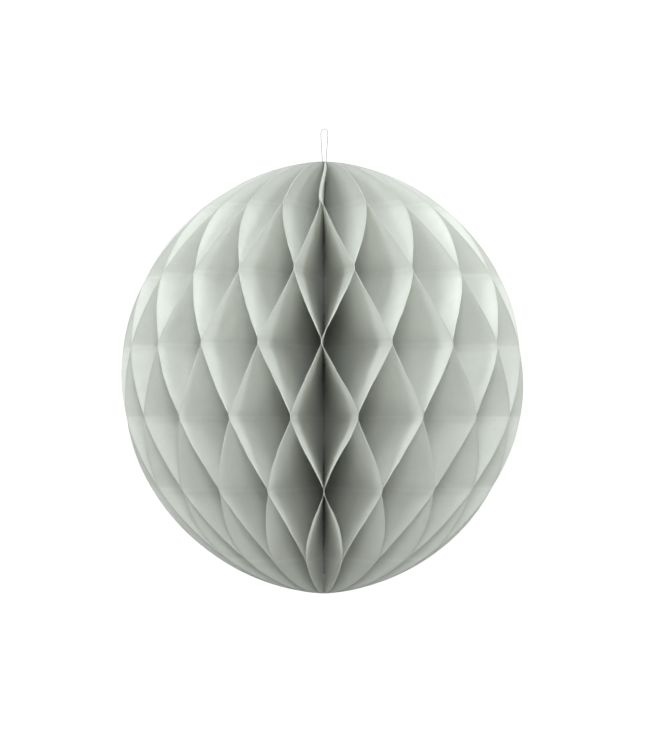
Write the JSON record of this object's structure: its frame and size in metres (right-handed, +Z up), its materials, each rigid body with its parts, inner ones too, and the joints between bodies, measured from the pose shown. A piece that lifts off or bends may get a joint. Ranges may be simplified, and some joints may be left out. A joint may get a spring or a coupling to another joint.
{
  "type": "paper honeycomb ball",
  "caption": "Hanging honeycomb ball of thin tissue-paper leaves glued in a fan, with diamond cells, a taped front seam and a thin thread loop at the top pole.",
  "frame": {"origin": "centre of the ball, on the spine axis that the leaves turn about", "axes": "+Z up along the spine to the hanging loop, -Y the front, where the taped seam is, +X to the right seen from the front"},
  "size_m": [0.187, 0.1868, 0.2153],
  "materials": {
    "tissue": "matte, thin and slightly translucent, sage grey",
    "tape": "double-sided tape, pale and matte",
    "thread": "fine twisted thread, pale grey"
  },
  "bodies": {
    "spine": {"top_binding_ring": "thread", "bottom_binding_ring": "thread", "top_knot": "thread", "bottom_knot": "thread", "spine_thread": "thread", "hanging_loop": "thread"},
    "column_19": {"leaf_20": "tissue"},
    "column_18": {"leaf_19": "tissue"},
    "column_17": {"leaf_18": "tissue"},
    "column_16": {"leaf_17": "tissue"},
    "column_15": {"leaf_16": "tissue"},
    "column_14": {"leaf_15": "tissue"},
    "column_13": {"leaf_14": "tissue"},
    "column_12": {"leaf_13": "tissue"},
    "column_11": {"leaf_12": "tissue"},
    "column_10": {"leaf_11": "tissue"},
    "column_09": {"leaf_10": "tissue"},
    "column_08": {"leaf_09": "tissue"},
    "column_07": {"leaf_08": "tissue"},
    "column_06": {"leaf_07": "tissue"},
    "column_05": {"leaf_06": "tissue"},
    "column_04": {"leaf_05": "tissue"},
    "column_03": {"leaf_04": "tissue"},
    "column_02": {"leaf_03": "tissue"},
    "column_01": {"leaf_02": "tissue"},
    "column_00": {"leaf_01": "tissue", "closure_strip_top": "tape", "closure_strip_middle": "tape", "closure_strip_lower": "tape"},
    "column_21": {"leaf_21": "tissue"},
    "column_22": {"leaf_22": "tissue"},
    "column_23": {"leaf_23": "tissue"},
    "column_24": {"leaf_24": "tissue"},
    "column_25": {"leaf_25": "tissue"},
    "column_26": {"leaf_26": "tissue"},
    "column_27": {"leaf_27": "tissue"},
    "column_28": {"leaf_28": "tissue"},
    "column_29": {"leaf_29": "tissue"},
    "column_30": {"leaf_30": "tissue"},
    "column_31": {"leaf_31": "tissue"},
    "column_32": {"leaf_32": "tissue"},
    "column_33": {"leaf_33": "tissue"},
    "column_34": {"leaf_34": "tissue"},
    "column_35": {"leaf_35": "tissue"},
    "column_36": {"leaf_36": "tissue"},
    "column_37": {"leaf_37": "tissue"},
    "column_38": {"leaf_38": "tissue"},
    "column_39": {"leaf_39": "tissue"},
    "column_40": {"leaf_40": "tissue"}
  },
  "joints": [
    {"name": "fold_19", "type": "hinge", "parent": "spine", "child": "column_19", "pos_m": [0, 0, 0], "axis": [0, 0, 1], "range_deg": [0, 8.66], "deforming": ["leaf_20"]},
    {"name": "fold_18", "type": "hinge", "parent": "column_19", "child": "column_18", "pos_m": [0, 0, 0], "axis": [0, 0, 1], "range_deg": [0, 8.49], "deforming": ["leaf_19"]},
    {"name": "fold_17", "type": "hinge", "parent": "column_18", "child": "column_17", "pos_m": [0, 0, 0], "axis": [0, 0, 1], "range_deg": [0, 8.35], "deforming": ["leaf_18"]},
    {"name": "fold_16", "type": "hinge", "parent": "column_17", "child": "column_16", "pos_m": [0, 0, 0], "axis": [0, 0, 1], "range_deg": [0, 8.25], "deforming": ["leaf_17"]},
    {"name": "fold_15", "type": "hinge", "parent": "column_16", "child": "column_15", "pos_m": [0, 0, 0], "axis": [0, 0, 1], "range_deg": [0, 8.19], "deforming": ["leaf_16"]},
    {"name": "fold_14", "type": "hinge", "parent": "column_15", "child": "column_14", "pos_m": [0, 0, 0], "axis": [0, 0, 1], "range_deg": [0, 8.19], "deforming": ["leaf_15"]},
    {"name": "fold_13", "type": "hinge", "parent": "column_14", "child": "column_13", "pos_m": [0, 0, 0], "axis": [0, 0, 1], "range_deg": [0, 8.25], "deforming": ["leaf_14"]},
    {"name": "fold_12", "type": "hinge", "parent": "column_13", "child": "column_12", "pos_m": [0, 0, 0], "axis": [0, 0, 1], "range_deg": [0, 8.35], "deforming": ["leaf_13"]},
    {"name": "fold_11", "type": "hinge", "parent": "column_12", "child": "column_11", "pos_m": [0, 0, 0], "axis": [0, 0, 1], "range_deg": [0, 8.49], "deforming": ["leaf_12"]},
    {"name": "fold_10", "type": "hinge", "parent": "column_11", "child": "column_10", "pos_m": [0, 0, 0], "axis": [0, 0, 1], "range_deg": [0, 8.66], "deforming": ["leaf_11"]},
    {"name": "fold_09", "type": "hinge", "parent": "column_10", "child": "column_09", "pos_m": [0, 0, 0], "axis": [0, 0, 1], "range_deg": [0, 8.84], "deforming": ["leaf_10"]},
    {"name": "fold_08", "type": "hinge", "parent": "column_09", "child": "column_08", "pos_m": [0, 0, 0], "axis": [0, 0, 1], "range_deg": [0, 9.01], "deforming": ["leaf_09"]},
    {"name": "fold_07", "type": "hinge", "parent": "column_08", "child": "column_07", "pos_m": [0, 0, 0], "axis": [0, 0, 1], "range_deg": [0, 9.15], "deforming": ["leaf_08"]},
    {"name": "fold_06", "type": "hinge", "parent": "column_07", "child": "column_06", "pos_m": [0, 0, 0], "axis": [0, 0, 1], "range_deg": [0, 9.25], "deforming": ["leaf_07"]},
    {"name": "fold_05", "type": "hinge", "parent": "column_06", "child": "column_05", "pos_m": [0, 0, 0], "axis": [0, 0, 1], "range_deg": [0, 9.31], "deforming": ["leaf_06"]},
    {"name": "fold_04", "type": "hinge", "parent": "column_05", "child": "column_04", "pos_m": [0, 0, 0], "axis": [0, 0, 1], "range_deg": [0, 9.31], "deforming": ["leaf_05"]},
    {"name": "fold_03", "type": "hinge", "parent": "column_04", "child": "column_03", "pos_m": [0, 0, 0], "axis": [0, 0, 1], "range_deg": [0, 9.25], "deforming": ["leaf_04"]},
    {"name": "fold_02", "type": "hinge", "parent": "column_03", "child": "column_02", "pos_m": [0, 0, 0], "axis": [0, 0, 1], "range_deg": [0, 9.15], "deforming": ["leaf_03"]},
    {"name": "fold_01", "type": "hinge", "parent": "column_02", "child": "column_01", "pos_m": [0, 0, 0], "axis": [0, 0, 1], "range_deg": [0, 9.01], "deforming": ["leaf_02"]},
    {"name": "fold_00", "type": "hinge", "parent": "column_01", "child": "column_00", "pos_m": [0, 0, 0], "axis": [0, 0, 1], "range_deg": [0, 8.84], "deforming": ["leaf_01"]},
    {"name": "fold_21", "type": "hinge", "parent": "spine", "child": "column_21", "pos_m": [0, 0, 0], "axis": [0, 0, 1], "range_deg": [-8.84, 0], "deforming": ["leaf_21"]},
    {"name": "fold_22", "type": "hinge", "parent": "column_21", "child": "column_22", "pos_m": [0, 0, 0], "axis": [0, 0, 1], "range_deg": [-9.01, 0], "deforming": ["leaf_22"]},
    {"name": "fold_23", "type": "hinge", "parent": "column_22", "child": "column_23", "pos_m": [0, 0, 0], "axis": [0, 0, 1], "range_deg": [-9.15, 0], "deforming": ["leaf_23"]},
    {"name": "fold_24", "type": "hinge", "parent": "column_23", "child": "column_24", "pos_m": [0, 0, 0], "axis": [0, 0, 1], "range_deg": [-9.25, 0], "deforming": ["leaf_24"]},
    {"name": "fold_25", "type": "hinge", "parent": "column_24", "child": "column_25", "pos_m": [0, 0, 0], "axis": [0, 0, 1], "range_deg": [-9.31, 0], "deforming": ["leaf_25"]},
    {"name": "fold_26", "type": "hinge", "parent": "column_25", "child": "column_26", "pos_m": [0, 0, 0], "axis": [0, 0, 1], "range_deg": [-9.31, 0], "deforming": ["leaf_26"]},
    {"name": "fold_27", "type": "hinge", "parent": "column_26", "child": "column_27", "pos_m": [0, 0, 0], "axis": [0, 0, 1], "range_deg": [-9.25, 0], "deforming": ["leaf_27"]},
    {"name": "fold_28", "type": "hinge", "parent": "column_27", "child": "column_28", "pos_m": [0, 0, 0], "axis": [0, 0, 1], "range_deg": [-9.15, 0], "deforming": ["leaf_28"]},
    {"name": "fold_29", "type": "hinge", "parent": "column_28", "child": "column_29", "pos_m": [0, 0, 0], "axis": [0, 0, 1], "range_deg": [-9.01, 0], "deforming": ["leaf_29"]},
    {"name": "fold_30", "type": "hinge", "parent": "column_29", "child": "column_30", "pos_m": [0, 0, 0], "axis": [0, 0, 1], "range_deg": [-8.84, 0], "deforming": ["leaf_30"]},
    {"name": "fold_31", "type": "hinge", "parent": "column_30", "child": "column_31", "pos_m": [0, 0, 0], "axis": [0, 0, 1], "range_deg": [-8.66, 0], "deforming": ["leaf_31"]},
    {"name": "fold_32", "type": "hinge", "parent": "column_31", "child": "column_32", "pos_m": [0, 0, 0], "axis": [0, 0, 1], "range_deg": [-8.49, 0], "deforming": ["leaf_32"]},
    {"name": "fold_33", "type": "hinge", "parent": "column_32", "child": "column_33", "pos_m": [0, 0, 0], "axis": [0, 0, 1], "range_deg": [-8.35, 0], "deforming": ["leaf_33"]},
    {"name": "fold_34", "type": "hinge", "parent": "column_33", "child": "column_34", "pos_m": [0, 0, 0], "axis": [0, 0, 1], "range_deg": [-8.25, 0], "deforming": ["leaf_34"]},
    {"name": "fold_35", "type": "hinge", "parent": "column_34", "child": "column_35", "pos_m": [0, 0, 0], "axis": [0, 0, 1], "range_deg": [-8.19, 0], "deforming": ["leaf_35"]},
    {"name": "fold_36", "type": "hinge", "parent": "column_35", "child": "column_36", "pos_m": [0, 0, 0], "axis": [0, 0, 1], "range_deg": [-8.19, 0], "deforming": ["leaf_36"]},
    {"name": "fold_37", "type": "hinge", "parent": "column_36", "child": "column_37", "pos_m": [0, 0, 0], "axis": [0, 0, 1], "range_deg": [-8.25, 0], "deforming": ["leaf_37"]},
    {"name": "fold_38", "type": "hinge", "parent": "column_37", "child": "column_38", "pos_m": [0, 0, 0], "axis": [0, 0, 1], "range_deg": [-8.35, 0], "deforming": ["leaf_38"]},
    {"name": "fold_39", "type": "hinge", "parent": "column_38", "child": "column_39", "pos_m": [0, 0, 0], "axis": [0, 0, 1], "range_deg": [-8.49, 0], "deforming": ["leaf_39"]},
    {"name": "fold_40", "type": "hinge", "parent": "column_39", "child": "column_40", "pos_m": [0, 0, 0], "axis": [0, 0, 1], "range_deg": [-8.66, 0], "deforming": ["leaf_40"]}
  ],
  "couplings": [
    {"joint": "fold_18", "follows": "fold_19", "ratio": 0.98066},
    {"joint": "fold_17", "follows": "fold_19", "ratio": 0.96422},
    {"joint": "fold_16", "follows": "fold_19", "ratio": 0.95227},
    {"joint": "fold_15", "follows": "fold_19", "ratio": 0.94599},
    {"joint": "fold_14", "follows": "fold_19", "ratio": 0.94599},
    {"joint": "fold_13", "follows": "fold_19", "ratio": 0.95227},
    {"joint": "fold_12", "follows": "fold_19", "ratio": 0.96422},
    {"joint": "fold_11", "follows": "fold_19", "ratio": 0.98066},
    {"joint": "fold_10", "follows": "fold_19", "ratio": 1},
    {"joint": "fold_09", "follows": "fold_19", "ratio": 1.0203},
    {"joint": "fold_08", "follows": "fold_19", "ratio": 1.0397},
    {"joint": "fold_07", "follows": "fold_19", "ratio": 1.0561},
    {"joint": "fold_06", "follows": "fold_19", "ratio": 1.068},
    {"joint": "fold_05", "follows": "fold_19", "ratio": 1.0743},
    {"joint": "fold_04", "follows": "fold_19", "ratio": 1.0743},
    {"joint": "fold_03", "follows": "fold_19", "ratio": 1.068},
    {"joint": "fold_02", "follows": "fold_19", "ratio": 1.0561},
    {"joint": "fold_01", "follows": "fold_19", "ratio": 1.0397},
    {"joint": "fold_00", "follows": "fold_19", "ratio": 1.0203},
    {"joint": "fold_21", "follows": "fold_19", "ratio": -1.0203},
    {"joint": "fold_22", "follows": "fold_19", "ratio": -1.0397},
    {"joint": "fold_23", "follows": "fold_19", "ratio": -1.0561},
    {"joint": "fold_24", "follows": "fold_19", "ratio": -1.068},
    {"joint": "fold_25", "follows": "fold_19", "ratio": -1.0743},
    {"joint": "fold_26", "follows": "fold_19", "ratio": -1.0743},
    {"joint": "fold_27", "follows": "fold_19", "ratio": -1.068},
    {"joint": "fold_28", "follows": "fold_19", "ratio": -1.0561},
    {"joint": "fold_29", "follows": "fold_19", "ratio": -1.0397},
    {"joint": "fold_30", "follows": "fold_19", "ratio": -1.0203},
    {"joint": "fold_31", "follows": "fold_19", "ratio": -1},
    {"joint": "fold_32", "follows": "fold_19", "ratio": -0.98066},
    {"joint": "fold_33", "follows": "fold_19", "ratio": -0.96422},
    {"joint": "fold_34", "follows": "fold_19", "ratio": -0.95227},
    {"joint": "fold_35", "follows": "fold_19", "ratio": -0.94599},
    {"joint": "fold_36", "follows": "fold_19", "ratio": -0.94599},
    {"joint": "fold_37", "follows": "fold_19", "ratio": -0.95227},
    {"joint": "fold_38", "follows": "fold_19", "ratio": -0.96422},
    {"joint": "fold_39", "follows": "fold_19", "ratio": -0.98066},
    {"joint": "fold_40", "follows": "fold_19", "ratio": -1}
  ]
}
